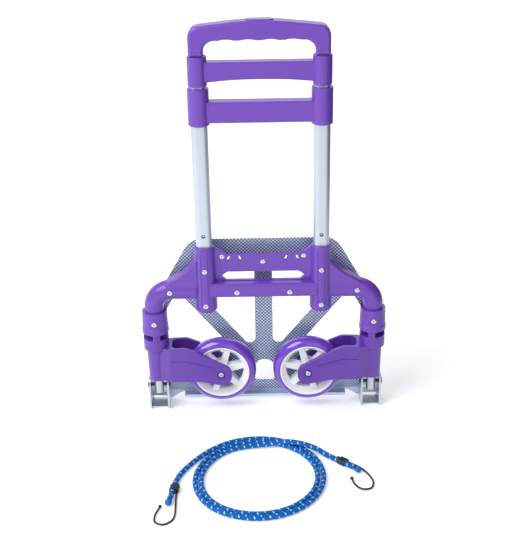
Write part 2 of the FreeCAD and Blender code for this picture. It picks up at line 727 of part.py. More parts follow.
# ------------------------------------------------------------------ toe plate
def side_line(z, inset):
    """The sloping side of the toe plate, or its inner edge when inset."""
    return 131.0 - inset + (264.0 - z) * 0.565


def plate_outline():
    right = [(0, 13.7), (138, 13.7), (157.5, 0.6), (161, 0.6), (162.5, 7), (186.5, 7), (188, 0.6), (191, 0.6),
             (191, 60), (188, 70), (188, 163.2), (side_line(PLATE_TOP_Z, 0), PLATE_TOP_Z)]
    radii = [0, 26, 3, 0.5, 3, 3, 0.5, 1, 4, 8, 25, 31]
    left = [(-x, z) for x, z in reversed(right[1:])]
    return right + left, radii + list(reversed(radii[1:]))


def spoke_line(z, side):
    """Inner (-1) or outer (+1) edge of a slanting rib of the toe plate."""
    return 76.7 + side * 15.8 + (z - 145.3) * 0.81


def plate_windows():
    rim = 27.0
    upper_z = 264.0
    foot_z = 145.3 + (14.3 - 60.9) / 0.81
    upper = [(14.3, upper_z), (side_line(upper_z, rim), upper_z), (125.8, 225.5), (14.3, foot_z)]
    side = [(138.7, 202.5), (161.0, 163.2), (161.0, 84.0), (spoke_line(84.0, 1), 84.0)]
    windows = both(slab(upper, [8, 20, 9, 9.5], 10, 40)) + both(slab(side, [5, 14, 10, 10], 10, 40))
    arch = slab([(-16, 34), (16, 34), (14, 72.8), (-14, 72.8)], [4, 4, 13, 13], 10, 40)
    return windows + [arch]


def toe_plate():
    """Pressed plate with windows and a stiffening flange along its hinged edge."""
    outline, radii = plate_outline()
    sheet = slab(outline, radii, PLATE_Y[0], PLATE_Y[1])
    flange = box(-134, 134, FLANGE_FRONT_Y, PLATE_Y[0] + 0.5, 12.2, 13.7)
    lip = box(-134, 134, FLANGE_FRONT_Y, FLANGE_FRONT_Y + 1.5, 8.6, 13.7)
    body = fused([sheet, flange, lip])
    holes = []
    for x, z in ear_rivet_places():
        holes.append(cyl_y(x, z, 2.0 + RUNNING, 10, 40))
    return cut_all(body, plate_windows() + holes)


def ear_rivet_places():
    places = []
    for z in (20.0, 50.0):
        places += [(LEG_X - 7, z), (LEG_X + 7, z), (-LEG_X + 7, z), (-LEG_X - 7, z)]
    return places


def ear_bracket():
    """Channel that holds a leg's foot between two ears and stands on the floor."""
    back = PLATE_Y[0] - RUNNING
    web_front = back - 2.0
    pieces = []
    for x0 in (LEG_X - EAR_OFFSET - EAR_T, LEG_X + EAR_OFFSET):
        ear = side_slab([(EAR_FRONT_Y, 0), (back, 0), (back, EAR_TOP_Z), (EAR_FRONT_Y, EAR_TOP_Z)],
                        [4, 1, 3, 13.5], x0, x0 + EAR_T)
        pieces.append(ear)
    pieces.append(box(LEG_X - EAR_OFFSET - 1, LEG_X + EAR_OFFSET + 1, web_front, back, 7, EAR_TOP_Z - 1))
    pieces.append(box(LEG_X - EAR_OFFSET - 1, LEG_X + EAR_OFFSET + 1, -5, back, 1.0, 3.0))
    body = fused(pieces)
    cuts = [cyl_x(0, PIN_Z, PIN_R + RUNNING, 100, 250)]
    for x, z in ear_rivet_places():
        cuts.append(cyl_y(x, z, 2.0 + RUNNING, 10, 40))
    return cut_all(body, cuts)


def ear_rivets():
    rivets = []
    for x, z in ear_rivet_places():
        shank = cyl_y(x, z, 2.0, PLATE_Y[0] - 3.0, PLATE_Y[1])
        head = cyl_y(x, z, 3.5, PLATE_Y[0] - 3.4, PLATE_Y[0] - 2.1)
        rivets.append(fused([shank, head]))
    return Part.makeCompound(rivets)


def hinge_pins():
    inner = LEG_X - EAR_OFFSET - EAR_T
    outer = LEG_X + EAR_OFFSET + EAR_T
    shank = cyl_x(0, PIN_Z, PIN_R, inner - 0.5, outer + 0.5)
    heads = [cyl_x(0, PIN_Z, 5.0, outer + 0.05, outer + 2.0), cyl_x(0, PIN_Z, 4.6, inner - 2.0, inner - 0.05)]
    return Part.makeCompound(both(fused([shank] + heads)))


def base_washers():
    ring = cyl_z(LEG_X, 11.2, POST_Z[0] - 2.2, POST_Z[0] - 0.3).cut(cyl_z(LEG_X, ROD_R + RUNNING, 40, 80))
    return Part.makeCompound(both(ring))


# ------------------------------------------------------------------ elastic cord
def turn_point(radius, clock, height):
    """A point of a turn; the angle runs clockwise from the far side."""
    angle = math.radians(clock)
    return (CORD_CENTRE[0] + radius * math.sin(angle), CORD_CENTRE[1] + radius * math.cos(angle), height)


def cord_points():
    """Control points: left end, two turns that tighten, and the right end laid over them."""
    points = [(-142.0, -262.0, 5.5), (-139.5, -246.0, 4.6), (-137.5, -224.0, 4.6), (-129.0, -195.0, 4.2),
              (-109.0, -163.0, 4.2), (-84.0, -134.0, 4.2)]
    grow = 1.0 / math.cos(math.pi / TURN_POINTS)
    first, second, third = CORD_TURN_R
    step = 360.0 / TURN_POINTS
    clock = -22.5
    while clock < 701.0:
        if clock < 225:
            radius = first
        elif clock < 300:
            radius = first + (second - first) * (clock - 225) / 75.0
        elif clock < 585:
            radius = second
        elif clock < 660:
            radius = second + (third - second) * (clock - 585) / 75.0
        else:
            radius = third
        points.append(turn_point(radius * grow, clock, 4.2))
        clock += step
    over = CORD_OVER_Z
    points += [(12.0, -124.5, 6.0), (36.0, -131.0, over), (72.0, -146.5, over), (93.0, -158.0, 6.5),
               (108.0, -168.0, 4.6), (124.0, -181.5, 4.6), (134.5, -191.0, 5.5)]
    return [V(*p) for p in points]


def cord_radii(points):
    radii = []
    for i in range(1, len(points) - 1):
        before = points[i] - points[i - 1]
        after = points[i + 1] - points[i]
        turn = before.getAngle(after)
        shorter = min(before.Length, after.Length)
        radii.append(0.45 * shorter / math.tan(turn / 2.0) if turn > 1e-4 else 0.0)
    return radii


def routed(points, radii, thickness):
    """A round section along straight runs joined by tangent arcs."""
    edges = []
    start = points[0]
    for i in range(1, len(points) - 1):
        before = (points[i - 1] - points[i]).normalize()
        after = (points[i + 1] - points[i]).normalize()
        half_angle = before.getAngle(after) / 2.0
        reach = radii[i - 1] / math.tan(half_angle)
        middle = (before + after).normalize() * (radii[i - 1] / math.sin(half_angle) - radii[i - 1])
        arc_start = points[i] + before * reach
        arc_end = points[i] + after * reach
        edges.append(Part.LineSegment(start, arc_start).toShape())
        edges.append(Part.Arc(arc_start, points[i] + middle, arc_end).toShape())
        start = arc_end
    edges.append(Part.LineSegment(start, points[-1]).toShape())
    wire = Part.Wire(edges)
    section = Part.Wire(Part.makeCircle(thickness, points[0], points[1] - points[0]))
    return wire, wire.makePipeShell([section], True, False)


def bungee_cord():
    points = cord_points()
    radii = cord_radii(points)
    wire, tube = routed(points, radii, CORD_R)
    print("cord length", round(wire.Length, 1), "volume", round(tube.Volume), "expected",
          round(math.pi * CORD_R ** 2 * wire.Length), "valid", tube.isValid())
    print("cord radii", [round(r, 1) for r in radii])
    return tube


def hook_points(end):
    """Wire of a hook: from its clamp along the shank and round the bend to the tip."""
    if end == "left":
        flat = [(-130.9, -223.5), (-132.4, -244.0), (-132.6, -262.0), (-131.5, -284.0), (-133.0, -303.0),
                (-146.0, -315.0), (-160.5, -309.0), (-161.0, -291.0), (-154.5, -273.0)]
    else:
        flat = [(109.8, -160.4), (124.5, -174.0), (143.0, -186.0), (154.8, -205.0), (160.0, -223.0),
                (154.5, -238.5), (140.5, -240.0), (130.5, -228.0), (127.5, -213.0)]
    return [V(x, y, 2.0 + 2.6 * max(0.0, 1.0 - i / 3.0)) for i, (x, y) in enumerate(flat)]


def wire_hook(end):
    points = hook_points(end)
    wire, body = routed(points, cord_radii(points), WIRE_R)
    tip = Part.makeSphere(2.6, points[-1] + V(0, 0, 0.7))
    return fused([body, tip])


def clamp(end):
    """Crimped band round the cord and the hook's wire."""
    cord = cord_points()
    near, far = (cord[2], cord[1]) if end == "left" else (cord[-3], cord[-2])
    along = (far - near).normalize()
    across = V(-along.y, along.x, 0).normalize()
    wire_points = hook_points(end)
    start = near + along * 4.0
    lean = 1.0 if (wire_points[1] - start).dot(across) > 0 else -1.0
    middle = start + across * (lean * 2.2)
    corners = []
    for u, w in ((-7.4, -4.6), (7.4, -4.6), (7.4, 4.6), (-7.4, 4.6)):
        corners.append(middle + across * u + V(0, 0, w))
    band = rounded_face(corners, 4.3).extrude(along * 12.0)
    cord_tube = routed(cord, cord_radii(cord), CORD_R + RUNNING)[1]
    wire_tube = routed(wire_points, cord_radii(wire_points), WIRE_R + RUNNING)[1]
    return band.cut(cord_tube).cut(wire_tube)


def knot(end):
    """Ball at the end of the cord."""
    cord = cord_points()
    last, before = (cord[0], cord[1]) if end == "left" else (cord[-1], cord[-2])
    along = (last - before).normalize()
    centre = last + along * 5.2
    return Part.makeSphere(5.2, V(centre.x, centre.y, 5.4))


# ------------------------------------------------------------------ every node
def cart_nodes():
    back_shell, front_shell = frame_shells()
    block = handle_block()
    lower = bridge(LOWER_SLEEVE_R, LOWER_SLEEVE_Z, LOWER_BAR_Z, 10.5, OUTER_TUBE, MIDDLE_TUBE, 0.0)
    upper = bridge(UPPER_SLEEVE_R, UPPER_SLEEVE_Z, UPPER_BAR_Z, 9.5, MIDDLE_TUBE, INNER_TUBE, 5.5)
    middle_holes = (INNER_PIN_Z, INNER_PIN_Z + STAGE_TRAVEL, MIDDLE_PIN_Z)
    inner_holes = (INNER_PIN_Z,)
    nodes = {
        "back_frame_shell": back_shell,
        "front_frame_shell": front_shell,
        "frame_rivets": frame_rivets(),
        "lower_bridge": lower,
        "collar_rivets": collar_rivets(),
        "base_washers": base_washers(),
        "upper_bridge": upper,
        "middle_plugs": Part.makeCompound(both(tube_plug(MIDDLE_TUBE, 303.0, 334.0, MIDDLE_PIN_Z, False))),
        "inner_plugs": Part.makeCompound(both(tube_plug(INNER_TUBE, 338.0, 370.0, INNER_PIN_Z, True))),
        "middle_lock_pins": Part.makeCompound(both(lock_pin(OUTER_TUBE, MIDDLE_PIN_Z, 3.0))),
        "inner_lock_pins": Part.makeCompound(both(lock_pin(MIDDLE_TUBE, INNER_PIN_Z, 3.0))),
        "back_handle_shell": handle_shell(block, -1),
        "front_handle_shell": handle_shell(block, 1),
        "handle_screws": handle_screws(),
        "release_button": release_button(),
        "release_yoke": release_yoke(),
        "release_rods": release_rods(),
        "release_springs": release_springs(),
        "toe_plate": toe_plate(),
        "ear_rivets": ear_rivets(),
        "hinge_pins": hinge_pins(),
    }
    pairs = {
        "outer_tube": outer_tube(),
        "steel_elbow": steel_elbow(),
        "leg_rod": leg_rod(),
        "crown_collar": crown_collar(),
        "middle_tube": hollow_tube(MIDDLE_TUBE, MIDDLE_TUBE_Z, middle_holes),
        "inner_tube": hollow_tube(INNER_TUBE, INNER_TUBE_Z, inner_holes),
        "fork": fork(),
        "axle_bolt": axle_bolt(),
        "axle_nut": axle_nut(),
        "tyre": tyre(),
        "wheel_hub": wheel_hub(),
        "wheel_bush": wheel_bush(),
        "ear_bracket": ear_bracket(),
    }
    for name, shape in pairs.items():
        nodes["right_" + name] = shape
        nodes["left_" + name] = mirrored(shape)
    return nodes


def cord_nodes():
    nodes = {"bungee_cord": bungee_cord()}
    for end in ("left", "right"):
        nodes[end + "_hook"] = wire_hook(end)
        nodes[end + "_cord_clamp"] = clamp(end)
        nodes[end + "_cord_knot"] = knot(end)
    return nodes


def main():
    os.makedirs("parts", exist_ok=True)
    nodes = cart_nodes()
    for shape in nodes.values():
        shape.translate(V(0, LEG_Y, 0))
    nodes.update(cord_nodes())
    for name in sorted(nodes):
        shape = nodes[name]
        if len(shape.Solids) == 1:
            shape = shape.Solids[0]
        shape.exportStep(os.path.join("parts", name + ".step"))
        box = shape.BoundBox
        print(name, len(shape.Solids), "valid", shape.isValid(), "volume", round(shape.Volume / 1000.0, 2),
              [round(v, 1) for v in (box.XMin, box.XMax, box.YMin, box.YMax, box.ZMin, box.ZMax)])


main()
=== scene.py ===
"""Looks of a folding luggage cart: camera and room, finishes, tyres and a braided elastic cord."""

import json
import math

import bpy
import numpy as np
from mathutils import Matrix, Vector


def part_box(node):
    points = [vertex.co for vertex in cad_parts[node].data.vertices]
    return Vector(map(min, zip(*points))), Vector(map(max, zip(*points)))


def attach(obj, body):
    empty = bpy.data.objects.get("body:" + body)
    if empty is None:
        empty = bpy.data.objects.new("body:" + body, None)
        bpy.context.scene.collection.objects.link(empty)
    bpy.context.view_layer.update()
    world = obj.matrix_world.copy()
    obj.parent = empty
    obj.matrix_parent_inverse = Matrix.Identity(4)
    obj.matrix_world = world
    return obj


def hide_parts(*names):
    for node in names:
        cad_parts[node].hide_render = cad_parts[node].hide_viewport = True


bl_info = {
    "name": "Folding Luggage Cart",
    "version": (1, 0, 0),
    "blender": (4, 5, 0),
    "location": "3D View > Sidebar > Cart",
    "description": "Builds the looks of a folding luggage cart on its packed frame",
    "category": "Object",
}

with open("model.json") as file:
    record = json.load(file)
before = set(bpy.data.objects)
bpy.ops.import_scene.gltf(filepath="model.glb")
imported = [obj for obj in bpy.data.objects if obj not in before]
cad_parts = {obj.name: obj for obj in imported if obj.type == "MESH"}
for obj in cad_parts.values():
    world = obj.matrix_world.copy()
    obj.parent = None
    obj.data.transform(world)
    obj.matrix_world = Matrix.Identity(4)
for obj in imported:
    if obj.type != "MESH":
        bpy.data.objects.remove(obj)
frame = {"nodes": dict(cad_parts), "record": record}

# The cord's route on the floor: the left tail, two turns, and the right tail that crosses over them.
CORD_PATH = [
    (-0.1420, -0.2620, 0.0055), (-0.1395, -0.2460, 0.0046), (-0.1375, -0.2240, 0.0046),
    (-0.1290, -0.1950, 0.0042), (-0.1090, -0.1630, 0.0042), (-0.0840, -0.1340, 0.0042),
]
CORD_EXIT_PATH = [
    (0.0120, -0.1245, 0.0060), (0.0360, -0.1310, 0.0152), (0.0720, -0.1465, 0.0152),
    (0.0930, -0.1580, 0.0065), (0.1080, -0.1680, 0.0046), (0.1240, -0.1815, 0.0046),
    (0.1345, -0.1910, 0.0055),
]
CORD_CENTRE = (-0.0130, -0.2065)
CORD_TURNS = (0.0985, 0.0897, 0.0810)   # radii that the spiral rests at
CORD_SHIFTS = (225, 585)                # degrees where it starts to move in to the next radius
CORD_SHIFT_SPAN = 75.0
CORD_CLOCK = (-22.5, 701.0)             # first and last direction, in degrees
CORD_LYING_Z = 0.0042
TURN_POINTS = 16

BLACK = (0.012, 0.012, 0.014)
BARE_STEEL = (0.55, 0.56, 0.60)
EAR_STEEL = (0.58, 0.61, 0.68)
RIVET_STEEL = (0.72, 0.72, 0.76)
CARD_GREY = (0.03, 0.03, 0.035)


# ------------------------------------------------------------------ settings
class CartLooks(bpy.types.PropertyGroup):
    """Colours and surface sizes of the cart's finishes."""
    plastic: bpy.props.FloatVectorProperty(
        name="Plastic", description="Moulded frame, bridges and handle", subtype="COLOR", size=3,
        default=(0.142, 0.046, 0.420), min=0, max=1)
    # The forks' colour is the frame's purple painted darker, as painted shade for the low-lying forks.
    fork: bpy.props.FloatVectorProperty(
        name="Forks", description="Moulded wheel forks", subtype="COLOR", size=3,
        default=(0.122, 0.036, 0.375), min=0, max=1)
    button: bpy.props.FloatVectorProperty(
        name="Button", description="Release button", subtype="COLOR", size=3,
        default=(0.150, 0.050, 0.430), min=0, max=1)
    tyre: bpy.props.FloatVectorProperty(
        name="Tyre", description="Polyurethane tyres", subtype="COLOR", size=3,
        default=(0.150, 0.046, 0.500), min=0, max=1)
    hub: bpy.props.FloatVectorProperty(
        name="Hub", description="Wheel hubs", subtype="COLOR", size=3,
        default=(0.88, 0.88, 0.91), min=0, max=1)
    # The toe plate's two colours are painted light: the dark one is painted shade in the hollows, the light
    # one a painted highlight on the raised diamonds and the flange.
    plate_shade: bpy.props.FloatVectorProperty(
        name="Plate hollows", description="Toe plate between its raised diamonds", subtype="COLOR", size=3,
        default=(0.075, 0.105, 0.185), min=0, max=1)
    plate_highlight: bpy.props.FloatVectorProperty(
        name="Plate diamonds", description="Raised diamonds of the toe plate", subtype="COLOR", size=3,
        default=(0.66, 0.76, 0.92), min=0, max=1)
    plate_pitch: bpy.props.FloatProperty(
        name="Plate pitch", description="Distance between raised diamonds", default=0.0056, min=0.001,
        max=0.02, unit="LENGTH")
    metal: bpy.props.FloatVectorProperty(
        name="Aluminium", description="Telescoping tubes", subtype="COLOR", size=3,
        default=(0.55, 0.60, 0.67), min=0, max=1)


class CartTyre(bpy.types.PropertyGroup):
    """Sizes of a tyre."""
    foot: bpy.props.FloatProperty(
        name="Foot radius", description="Where the tyre meets the rim", default=0.04525, min=0.01,
        unit="LENGTH")
    crown: bpy.props.FloatProperty(
        name="Crown radius", description="Largest radius", default=0.0570, min=0.01, unit="LENGTH")
    half_width: bpy.props.FloatProperty(
        name="Half width", description="Half of the tyre's width", default=0.0140, min=0.002, unit="LENGTH")
    around: bpy.props.IntProperty(
        name="Around", description="Steps round the wheel", default=160, min=24, max=400)


class CartCord(bpy.types.PropertyGroup):
    """The loose elastic cord."""
    diameter: bpy.props.FloatProperty(
        name="Diameter", description="Across the woven sleeve", default=0.008, min=0.002, unit="LENGTH")
    length: bpy.props.FloatProperty(
        name="Length", description="From end to end", default=1.544, min=0.1, unit="LENGTH")
    colour: bpy.props.FloatVectorProperty(
        name="Yarn", description="Main yarn", subtype="COLOR", size=3,
        default=(0.000, 0.125, 0.470), min=0, max=1)
    fleck: bpy.props.FloatVectorProperty(
        name="Flecks", description="Pale tracer yarns", subtype="COLOR", size=3,
        default=(0.42, 0.68, 0.86), min=0, max=1)
    repeat: bpy.props.FloatProperty(
        name="Fleck repeat", description="Distance along the cord between tracer crossings", default=0.011,
        min=0.002, unit="LENGTH")


class CartRoom(bpy.types.PropertyGroup):
    """Camera, floor and light."""
    lens: bpy.props.FloatProperty(
        name="Lens", description="Focal length on a 36 mm sensor", default=74.0, min=20, max=200)
    tilt: bpy.props.FloatProperty(
        name="Tilt", description="Camera's angle below the horizon", default=math.radians(25.5),
        subtype="ANGLE")
    roll: bpy.props.FloatProperty(
        name="Roll", description="Camera's lean to the right", default=math.radians(0.95), subtype="ANGLE")
    distance: bpy.props.FloatProperty(
        name="Distance", description="Level distance to the cart", default=1.5595, min=0.2, unit="LENGTH")
    height: bpy.props.FloatProperty(
        name="Height", description="Camera's height above the floor", default=0.996, min=0.1, unit="LENGTH")
    world: bpy.props.FloatProperty(
        name="Sky", description="Strength of the even light from all round", default=0.47, min=0, max=5)
    key: bpy.props.FloatProperty(
        name="Key", description="Power of the soft light above left", default=46.0, min=0, max=500)
    card: bpy.props.FloatProperty(
        name="Card", description="How far to the right the dark card stands", default=0.85, unit="LENGTH")
    fill: bpy.props.FloatProperty(
        name="Fill", description="Power of the soft lights in front and behind", default=5.0, min=0, max=500)
    glow: bpy.props.FloatProperty(
        name="Glow", description="Light that the paper floor gives by itself", default=0.30, min=0, max=5)
    bend: bpy.props.FloatProperty(
        name="Bend", description="Radius where the paper floor turns up", default=0.9, min=0.1, unit="LENGTH")
    floor: bpy.props.FloatVectorProperty(
        name="Floor", description="Floor colour", subtype="COLOR", size=3,
        default=(0.93, 0.93, 0.95), min=0, max=1)


# ------------------------------------------------------------------ shader building
class Wire:
    """A varying value in a shader. Arithmetic on it adds maths nodes."""

    def __init__(self, shader, socket):
        self.shader = shader
        self.socket = socket

    def __add__(self, other):
        return self.shader.maths("ADD", self, other)

    def __radd__(self, other):
        return self.shader.maths("ADD", other, self)

    def __sub__(self, other):
        return self.shader.maths("SUBTRACT", self, other)

    def __rsub__(self, other):
        return self.shader.maths("SUBTRACT", other, self)

    def __mul__(self, other):
        return self.shader.maths("MULTIPLY", self, other)

    def __rmul__(self, other):
        return self.shader.maths("MULTIPLY", other, self)

    def __truediv__(self, other):
        return self.shader.maths("DIVIDE", self, other)

    def sin(self):
        return self.shader.maths("SINE", self)

    def fract(self):
        return self.shader.maths("FRACT", self)

    def absolute(self):
        return self.shader.maths("ABSOLUTE", self)

    def clamped(self, low, high):
        """0 below low, 1 above high, smooth between."""
        node = self.shader.node("ShaderNodeMapRange", {0: self, 1: low, 2: high},
                                interpolation_type="SMOOTHSTEP")
        return Wire(self.shader, node.outputs[0])


class Shader:
    """One material with a principled surface."""

    def __init__(self, name, colour, roughness, metallic=0.0, coat=0.0):
        self.material = bpy.data.materials.new(name)
        self.material.use_nodes = True
        self.tree = self.material.node_tree
        self.surface = self.tree.nodes["Principled BSDF"]
        self.surface.inputs["Base Color"].default_value = (*colour, 1.0)
        self.surface.inputs["Roughness"].default_value = roughness
        self.surface.inputs["Metallic"].default_value = metallic
        self.surface.inputs["Coat Weight"].default_value = coat

    def node(self, kind, inputs=None, **settings):
        made = self.tree.nodes.new(kind)
        for key, value in settings.items():
            setattr(made, key, value)
        for key, value in (inputs or {}).items():
            self.feed(made.inputs[key], value)
        return made

    def feed(self, socket, value):
        if isinstance(value, Wire):
            self.tree.links.new(value.socket, socket)
        else:
            socket.default_value = value

    def maths(self, operation, *values):
        made = self.node("ShaderNodeMath", dict(enumerate(values)), operation=operation)
        return Wire(self, made.outputs[0])

    def place(self):
        """Object coordinates as three wires."""
        coords = self.node("ShaderNodeTexCoord")
        split = self.node("ShaderNodeSeparateXYZ", {0: Wire(self, coords.outputs["Object"])})
        return [Wire(self, out) for out in split.outputs]

    def unwrapped(self):
        """The mesh's own UV as two wires."""
        coords = self.node("ShaderNodeUVMap", uv_map="UVMap")
        split = self.node("ShaderNodeSeparateXYZ", {0: Wire(self, coords.outputs[0])})
        return [Wire(self, out) for out in split.outputs][:2]

    def noise(self, scale, stretch=(1.0, 1.0, 1.0), detail=3.0):
        coords = self.node("ShaderNodeTexCoord")
        fitted = self.node("ShaderNodeMapping",
                           {"Vector": Wire(self, coords.outputs["Object"]), "Scale": stretch})
        made = self.node("ShaderNodeTexNoise",
                         {"Vector": Wire(self, fitted.outputs[0]), "Scale": scale, "Detail": detail})
        return Wire(self, made.outputs["Fac"])

    def mixed(self, factor, low, high):
        made = self.node("ShaderNodeMix", data_type="RGBA")
        self.feed(made.inputs["Factor"], factor)
        for name, colour in (("A", low), ("B", high)):
            sockets = [s for s in made.inputs if s.name == name and s.type == "RGBA"]
            sockets[0].default_value = (*colour, 1.0)
        out = [s for s in made.outputs if s.type == "RGBA"][0]
        return Wire(self, out)

    def colour(self, wire):
        self.feed(self.surface.inputs["Base Color"], wire)

    def rough(self, wire):
        self.feed(self.surface.inputs["Roughness"], wire)

    def bump(self, height, strength, distance):
        made = self.node("ShaderNodeBump", {"Height": height, "Strength": strength, "Distance": distance})
        self.tree.links.new(made.outputs[0], self.surface.inputs["Normal"])


def plastic_shader(name, colour, roughness=0.36, coat=0.15):
    shader = Shader(name, colour, roughness, coat=coat)
    grain = shader.noise(900.0, detail=2.0)
    shader.rough(roughness + (grain - 0.5) * 0.10)
    shader.bump(grain, 0.10, 0.0002)
    return shader.material


def tube_shader(name, colour):
    shader = Shader(name, colour, 0.34, metallic=0.75)
    streak = shader.noise(700.0, (1.0, 1.0, 0.02))
    shader.rough(0.28 + streak * 0.14)
    shader.bump(streak, 0.05, 0.0001)
    return shader.material


def steel_shader(name, colour, roughness=0.32):
    shader = Shader(name, colour, roughness, metallic=0.85)
    cloud = shader.noise(180.0)
    shader.rough(roughness - 0.05 + cloud * 0.12)
    return shader.material


def plate_shader(name, low, high, pitch):
    """Rows of small raised diamonds, every second row shifted, on a darker ground: the light diamonds are a
    painted highlight, the darker ground is painted shade, and off the dimpled face the flange is painted
    nearly the light colour.
    """
    shader = Shader(name, low, 0.38, metallic=0.35)
    x, y, z = shader.place()
    turn = math.pi / pitch
    wave = ((x + z) * turn).sin() * ((x - z) * turn).sin()
    face = z.clamped(0.0160, 0.0172) * y.clamped(0.0208, 0.0214)
    # Painted light: the raised diamonds take the light colour as a painted highlight and the hollows the dark
    # colour as painted shade; off the face the flange takes 0.9 of the light colour. The same mask also
    # drives the bump.
    raised = wave.absolute().clamped(0.20, 0.55) * face + (1.0 - face) * 0.9
    shader.colour(shader.mixed(raised, low, high))
    shader.bump(raised, 0.6, 0.0005)
    return shader.material


def yarn_shader(name, colour, fleck, repeat):
    """Braided yarns: two sets of helical ribs, and pale tracers where they surface."""
    ribs, lay = 8.0, 0.013
    shader = Shader(name, colour, 0.6)
    shader.surface.inputs["Specular IOR Level"].default_value = 0.2
    around, along = shader.unwrapped()
    right = (around * ribs + along * (ribs / lay)) * math.pi
    left = (around * ribs - along * (ribs / lay)) * math.pi
    rib = (right.sin() * left.sin()).absolute()
    tracer = (around + along / repeat).fract()
    crossing = (around * 2.0 - along / repeat * 1.5 + 0.2).fract()
    pale = (tracer - 0.5).absolute().clamped(0.385, 0.425) * (crossing - 0.5).absolute().clamped(0.20, 0.26)
    shader.colour(shader.mixed(pale, colour, fleck))
    shader.bump(rib, 0.5, 0.0006)
    return shader.material


# ------------------------------------------------------------------ surfaces
def grid_mesh(name, points, wrap_rows, wrap_columns, uv=None, ends=False):
    """A mesh from a grid of points: row by row, closed round either way, or with flat ends, if asked."""
    rows, columns = points.shape[:2]
    index = np.arange(rows * columns).reshape(rows, columns)
    last_row = rows if wrap_rows else rows - 1
    last_column = columns if wrap_columns else columns - 1
    i, j = np.meshgrid(np.arange(last_row), np.arange(last_column), indexing="ij")
    i2 = (i + 1) % rows
    j2 = (j + 1) % columns
    quads = np.stack([index[i, j], index[i, j2], index[i2, j2], index[i2, j]], -1).reshape(-1, 4)
    mesh = bpy.data.meshes.new(name)
    flat_ends = [index[0, ::-1].tolist(), index[-1].tolist()] if ends else []
    mesh.from_pydata(points.reshape(-1, 3).tolist(), [], quads.tolist() + flat_ends)
    mesh.polygons.foreach_set("use_smooth", np.ones(len(mesh.polygons), bool))
    if uv is not None:
        corner_uv = np.stack([uv(i, j), uv(i, j + 1), uv(i + 1, j + 1), uv(i + 1, j)], 2).reshape(-1, 2)
        if ends:
            ring = np.arange(columns)
            corner_uv = np.concatenate([corner_uv, uv(0 * ring, ring[::-1]), uv(0 * ring + rows - 1, ring)])
        layer = mesh.uv_layers.new(name="UVMap")
        layer.data.foreach_set("uv", corner_uv.astype(np.float32).ravel())
    mesh.update()
    return mesh


def added(name, mesh, material):
    piece = bpy.data.objects.new(name, mesh)
    bpy.context.scene.collection.objects.link(piece)
    mesh.materials.append(material)
    return piece


def turned(name, profile, centre, around):
    """A closed profile of (y, r) pairs turned about the line along Y through centre."""
    angle = np.linspace(0, 2 * math.pi, around, endpoint=False)[:, None]
    y, r = profile[None, :, 0], profile[None, :, 1]
    points = np.stack([centre[0] + r * np.cos(angle),
                       centre[1] + y + 0 * angle,
                       centre[2] + r * np.sin(angle)], -1)
    return grid_mesh(name, points, True, True)


def tyre_profile(foot, crown, half_width):
    """Foot on the rim, short side, and one arc over the crown; (y, r) pairs in order."""
    shoulder = foot + 0.0016
    rise = crown - shoulder
    radius = (half_width ** 2 + rise ** 2) / (2 * rise)
    reach = math.pi - math.asin(half_width / radius) if rise > half_width else math.asin(half_width / radius)
    t = np.linspace(-reach, reach, 41)
    arc = np.stack([radius * np.sin(t), crown - radius + radius * np.cos(t)], -1)
    ends = np.array([[half_width - 0.0008, foot], [0.0, foot], [-half_width + 0.0008, foot]])
    return np.concatenate([arc, ends])


def shifted(clock, start):
    """How far a move between two radii has gone: 0 before start, 1 after its span."""
    return min(max((clock - start) / CORD_SHIFT_SPAN, 0.0), 1.0)


def turn_points():
    """Control points of the cord's turns, the same as the solid's."""
    points = []
    first, second, third = CORD_TURNS
    grow = 1.0 / math.cos(math.pi / TURN_POINTS)
    clock, last = CORD_CLOCK
    while clock < last:
        radius = first + (second - first) * shifted(clock, CORD_SHIFTS[0])
        radius += (third - second) * shifted(clock, CORD_SHIFTS[1])
        angle = math.radians(clock)
        x = CORD_CENTRE[0] + radius * grow * math.sin(angle)
        y = CORD_CENTRE[1] + radius * grow * math.cos(angle)
        points.append((x, y, CORD_LYING_Z))
        clock += 360.0 / TURN_POINTS
    return points


def cord_curve(name, points, half):
    curve = bpy.data.curves.new(name, "CURVE")
    curve.dimensions = "3D"
    curve.resolution_u = 6
    spline = curve.splines.new("NURBS")
    spline.points.add(len(points) - 1)
    for point, place in zip(spline.points, points):
        point.co = (*place, 1.0)
    spline.order_u = 3
    spline.use_endpoint_u = True
    curve.bevel_depth = half
    curve.bevel_resolution = 6
    curve.use_fill_caps = True
    piece = bpy.data.objects.new(name, curve)
    bpy.context.scene.collection.objects.link(piece)
    return piece


def centre_line(piece):
    """Points along a curve's own line."""
    bare = piece.copy()
    bare.data = piece.data.copy()
    bare.data.bevel_depth = 0.0
    bpy.context.scene.collection.objects.link(bare)
    bpy.context.view_layer.update()
    mesh = bpy.data.meshes.new_from_object(bare.evaluated_get(bpy.context.evaluated_depsgraph_get()))
    line = np.zeros(len(mesh.vertices) * 3)
    mesh.vertices.foreach_get("co", line)
    bpy.data.objects.remove(bare)
    bpy.data.meshes.remove(mesh)
    return line.reshape(-1, 3)


def carried_frames(line):
    """Two unit directions across a line that never spin."""
    along = np.gradient(line, axis=0)
    along /= np.linalg.norm(along, axis=1)[:, None]
    side = np.cross(along, (0.0, 0.0, 1.0))
    side /= np.linalg.norm(side, axis=1)[:, None]
    return side, np.cross(side, along)


def sleeve_mesh(name, line, half, around=20):
    """A round skin along a line, with distance along it as the second texture coordinate."""
    side, up = carried_frames(line)
    travelled = np.concatenate([[0.0], np.cumsum(np.linalg.norm(np.diff(line, axis=0), axis=1))])
    angle = np.linspace(0, 2 * math.pi, around, endpoint=False)[None, :, None]
    points = line[:, None] + half * (np.cos(angle) * side[:, None] + np.sin(angle) * up[:, None])

    def uv(i, j):
        return np.stack([j / around, travelled[np.minimum(i, len(travelled) - 1)]], -1)

    return grid_mesh(name, points, False, True, uv, True)


